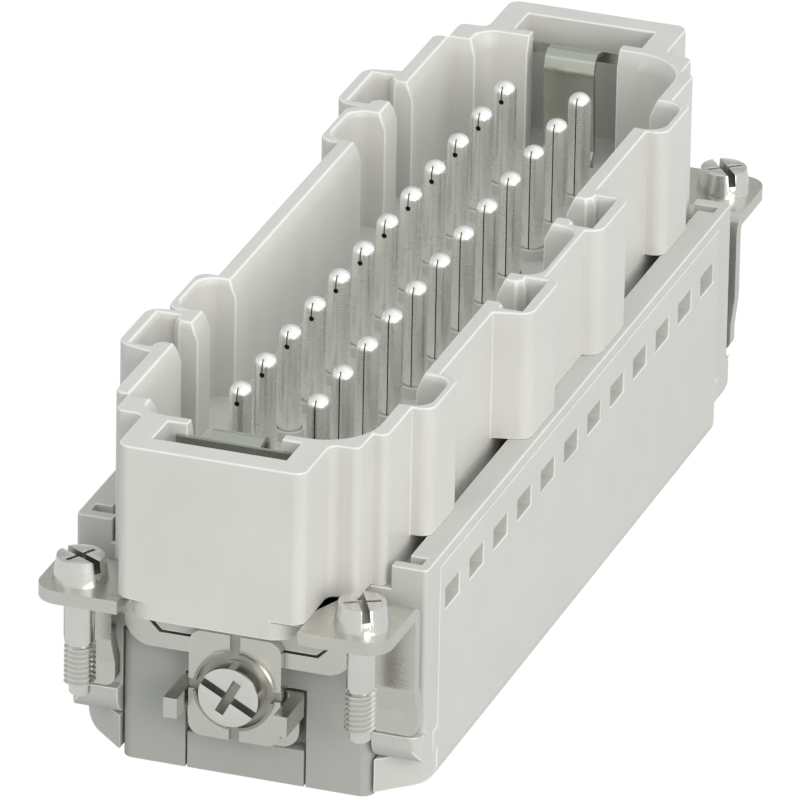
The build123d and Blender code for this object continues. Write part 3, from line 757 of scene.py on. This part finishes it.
def break_edges(piece, width):
    """A small rounding on every sharp edge, and smooth shading between them."""
    finish_modifier(
        piece,
        "BEVEL",
        width=width * MM,
        segments=2,
        limit_method="ANGLE",
        angle_limit=SHARP_ANGLE,
        use_clamp_overlap=True,
    )
    smooth(piece)
    finish_modifier(piece, "WEIGHTED_NORMAL", keep_sharp=True, weight=50)


def darken_slots(piece, low, high, radius):
    """Marks the walls and floors of milled slots for the second material, a darker steel that paints shade
    into them, in millimetres.
    """
    piece.data.materials.clear()
    piece.data.materials.append(screw_metal)
    piece.data.materials.append(shaded_slot_metal)
    for face in piece.data.polygons:
        x, y, z = (value / MM for value in face.center)
        inside = math.hypot(x, y) < radius - 0.05
        if inside and low - 0.01 < z < high - 0.02:
            face.material_index = 1


def placed_copy(piece, name, place, matrix=Matrix.Identity(4)):
    """A copy with a mesh of its own, turned and moved in that mesh."""
    copy = piece.copy()
    copy.data = piece.data.copy()
    copy.name = name
    bpy.context.scene.collection.objects.link(copy)
    copy.data.transform(Matrix.Translation(place) @ matrix)
    return copy


# %% [markdown]
# ## Contact pins
# A contact is rolled from strip, so a seam runs all the way up its shaft. Opposite the seam is a
# short slit that ends in a round dot. Both are milled into one pin, which is then copied to the
# grid, and the pins of the back row are turned by half a turn, as they are on the real insert.

# %% Model one contact pin
PIN_RADIUS = 1.1
PIN_ROOT = 0.85
PIN_DOME_STEPS = 6
SEAM_WIDTH = 0.11
SEAM_DEPTH = 0.3
SLIT_LENGTH = 1.75
DOT_RADIUS = 0.25

pin_low, pin_high = (corner[2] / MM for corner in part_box("contact_pin_01"))
COLLAR_TOP = pin_high - 10.4
FLANGE_TOP = pin_high - 15.4
DOME_BASE = pin_high - PIN_RADIUS

def pin_outline():
    """Half of the pin's outline: spigot, barrel, flange, shaft and dome."""
    outline = [
        (0, pin_low),
        (0.9, pin_low),
        (0.9, pin_low + 1.3),
        (1.55, pin_low + 1.3),
        (1.55, FLANGE_TOP - 1.0),
        (1.8, FLANGE_TOP - 1.0),
        (1.8, FLANGE_TOP),
        (PIN_ROOT, FLANGE_TOP),
        (PIN_ROOT, COLLAR_TOP),
        (PIN_RADIUS, COLLAR_TOP),
    ]
    for step in range(PIN_DOME_STEPS + 1):
        turn = math.radians(90 * step / PIN_DOME_STEPS)
        level = pin_high - PIN_RADIUS * (1 - math.sin(turn))
        outline.append((PIN_RADIUS * math.cos(turn), level))
    return outline


pin = turned("pin_pattern", pin_outline())
edge_shift = PIN_RADIUS - SEAM_DEPTH / 2
slit_foot = pin_high - SLIT_LENGTH
for foot, turn in ((COLLAR_TOP - 0.1, math.pi), (slit_foot, 0)):
    seam = slot_cutter(SEAM_DEPTH * 1.4, SEAM_WIDTH, foot, pin_high + 0.1, turn, edge_shift)
    mill(pin, seam)
bpy.ops.object.select_all(action="DESELECT")
bpy.ops.mesh.primitive_cylinder_add(
    vertices=24,
    radius=DOT_RADIUS * MM,
    depth=SEAM_DEPTH * MM,
    location=(PIN_RADIUS * MM, 0, slit_foot * MM),
    rotation=(0, math.pi / 2, 0),
)
mill(pin, bpy.context.object)
smooth(pin, 40)
for face in pin.data.polygons:
    x, y, z = (value / MM for value in face.center)
    depth = PIN_RADIUS - math.hypot(x, y, max(z - DOME_BASE, 0))
    if z > COLLAR_TOP + 0.01 and depth > 0.04:
        face.material_index = 1
print("one pin:", triangles(pin), "triangles")

# %% Copy the pin to the grid
pin_names = sorted(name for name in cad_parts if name.startswith("contact_pin"))
for name in pin_names:
    low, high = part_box(name)
    place = Vector(((low[0] + high[0]) / 2, (low[1] + high[1]) / 2, 0))
    turn = Matrix.Rotation(math.pi if place.y > 0 else 0, 4, "Z")
    contact = placed_copy(pin, f"{name}_turned", place, turn)
    hand_over(contact, [pin_metal, seam_dark], "silvered_copper", "insert", name)
bpy.data.objects.remove(pin)

# %% [markdown]
# ## Screws
# A thread is one short zigzag line, wound up a helix by the Screw modifier. Its two ends are filled
# and vanish in the neck and in the point. The drive is a slot right across the head with a shorter
# one across it, so a flat or a crossed blade fits.

# %% Wind a thread
def thread(name, outer, root, pitch, turns, low, steps=36):
    """A closed threaded bar about the Z axis, in millimetres."""
    crest = pitch / 8
    flank = (pitch - 2 * crest) / 2
    line = draw_line(
        name,
        [
            (root, low),
            (outer, low + flank),
            (outer, low + flank + crest),
            (root, low + 2 * flank + crest),
            (root, low + pitch),
        ],
    )
    finish_modifier(
        line,
        "SCREW",
        axis="Z",
        angle=2 * math.pi,
        screw_offset=pitch * MM,
        iterations=turns,
        steps=steps,
        render_steps=steps,
    )
    edit(line)
    bpy.ops.mesh.remove_doubles(threshold=MERGE_DISTANCE)
    bpy.ops.mesh.select_all(action="SELECT")
    bpy.ops.mesh.fill_holes(sides=0)
    bpy.ops.mesh.select_all(action="SELECT")
    bpy.ops.mesh.normals_make_consistent(inside=False)
    leave_edit()
    smooth(line, 30)
    return line


def join(piece, other):
    """Joins a thread to its screw, with the screw's metal on it."""
    other.data.materials.append(screw_metal)
    focus(piece)
    other.select_set(True)
    bpy.ops.object.join()
    return piece


# %% Model the fixing screw
FIXING_HEAD_TOP_RADIUS = 2.2
FIXING_HEAD_RADIUS = 2.6
FIXING_HEAD_HEIGHT = 2.25
FIXING_NECK_RADIUS = 1.35
FIXING_NECK_LENGTH = 6.2
FIXING_THREAD_RADIUS = 1.47
FIXING_ROOT_RADIUS = 1.17
FIXING_PITCH = 0.5
FIXING_TURNS = 8
FIXING_POINT_RADIUS = 1.0
FIXING_POINT_LENGTH = 1.0

def fixing_screw(top, tip, turn):
    """A fixing screw about the Z axis, between its two ends, its slot turned."""
    seat = top - FIXING_HEAD_HEIGHT
    neck_end = seat - FIXING_NECK_LENGTH
    thread_end = tip + FIXING_POINT_LENGTH
    body = turned(
        "fixing_screw_pattern",
        [
            (0, tip),
            (FIXING_POINT_RADIUS - 0.2, tip),
            (FIXING_POINT_RADIUS, tip + 0.2),
            (FIXING_POINT_RADIUS, thread_end),
            (FIXING_ROOT_RADIUS, thread_end + 0.1),
            (FIXING_ROOT_RADIUS, neck_end),
            (FIXING_NECK_RADIUS, neck_end),
            (FIXING_NECK_RADIUS, seat),
            (FIXING_HEAD_RADIUS, seat),
            (FIXING_HEAD_TOP_RADIUS, top),
            (0, top),
        ],
    )
    mill(body, slot_cutter(2 * FIXING_HEAD_RADIUS + 1, 0.75, top - 1.1, top + 1, turn))
    mill(body, slot_cutter(3.4, 0.4, top - 0.5, top + 1, turn + math.pi / 2))
    darken_slots(body, top - 1.1, top, FIXING_HEAD_TOP_RADIUS)
    break_edges(body, 0.07)
    ridge = thread(
        "fixing_thread",
        FIXING_THREAD_RADIUS,
        FIXING_ROOT_RADIUS,
        FIXING_PITCH,
        FIXING_TURNS,
        thread_end - FIXING_PITCH / 4,
    )
    return join(body, ridge)


# %% Place the fixing screws
SLOT_TURNS = {"left_front": 28, "left_back": 61, "right_front": 38, "right_back": 80}
for corner, degrees in SLOT_TURNS.items():
    node = f"fixing_screw_{corner}"
    low, high = (Vector(end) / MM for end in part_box(node))
    screw = fixing_screw(high.z, low.z, math.radians(degrees))
    screw.name = f"{node}_threaded"
    screw.data.transform(Matrix.Translation(((low.x + high.x) / 2 * MM, (low.y + high.y) / 2 * MM, 0)))
    hand_over(screw, [screw_metal, shaded_slot_metal], "screw_steel", node, node)

# %% [markdown]
# ## Clamp screws
# The earth wire is clamped by a larger screw with a flat head in the dish of each saddle. It is
# modelled upright and then laid along X, turned rather than mirrored at the left end, because a
# mirrored thread would be left-handed.

# %% Model and place the clamp screws
CLAMP_HEAD_RADIUS = 2.9
CLAMP_HEAD_HEIGHT = 2.0
CLAMP_THREAD_RADIUS = 2.0
CLAMP_ROOT_RADIUS = 1.6
CLAMP_PITCH = 0.7
CLAMP_TURNS = 9
CLAMP_SLOT_TURN = -62

def clamp_screw(length, turn):
    """A clamp screw about the Z axis, its head standing on zero."""
    body = turned(
        "clamp_screw_pattern",
        [
            (0, -length),
            (CLAMP_ROOT_RADIUS - 0.3, -length),
            (CLAMP_ROOT_RADIUS, 0.3 - length),
            (CLAMP_ROOT_RADIUS, 0),
            (CLAMP_HEAD_RADIUS, 0),
            (CLAMP_HEAD_RADIUS, CLAMP_HEAD_HEIGHT),
            (0, CLAMP_HEAD_HEIGHT),
        ],
        steps=64,
    )
    top = CLAMP_HEAD_HEIGHT
    mill(body, slot_cutter(2 * CLAMP_HEAD_RADIUS + 1, 0.75, top - 1.3, top + 1, turn))
    mill(body, slot_cutter(3.7, 0.85, top - 1.3, top + 1, turn + math.pi / 2))
    darken_slots(body, top - 1.3, top, CLAMP_HEAD_RADIUS)
    break_edges(body, 0.08)
    ridge = thread(
        "clamp_thread",
        CLAMP_THREAD_RADIUS,
        CLAMP_ROOT_RADIUS,
        CLAMP_PITCH,
        CLAMP_TURNS,
        0.3 - length,
    )
    return join(body, ridge)


for end, side in (("left", -1), ("right", 1)):
    node = f"earth_screw_{end}"
    low, high = (Vector(corner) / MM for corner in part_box(node))
    length = high.x - low.x - CLAMP_HEAD_HEIGHT
    turn = CLAMP_SLOT_TURN if side > 0 else 180 - CLAMP_SLOT_TURN
    screw = clamp_screw(length, math.radians(turn))
    screw.name = f"{node}_threaded"
    outer_face = high.x if side > 0 else low.x
    seat = Vector((outer_face - side * CLAMP_HEAD_HEIGHT, (low.y + high.y) / 2, (low.z + high.z) / 2))
    laid = Matrix.Rotation(side * math.pi / 2, 4, "Y")
    screw.data.transform(Matrix.Translation(seat * MM) @ laid)
    hand_over(screw, [screw_metal, shaded_slot_metal], "screw_steel", node, node)

# %% [markdown]
# ## Pieces left as the frame has them
# The wire clamps sit inside the terminal block. Only a glimpse of them shows through the wire
# funnels underneath, so they keep their solids and get a finish of their own.

# %% Finish the wire clamps
CLAMP_FINISH = {"clamp_bars": pin_metal, "clamp_springs": spring_metal}
for kind, material in CLAMP_FINISH.items():
    for side in ("front", "back"):
        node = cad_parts[f"{kind}_{side}"]
        node.data.materials.clear()
        node.data.materials.append(material)
print("wire clamps finished")
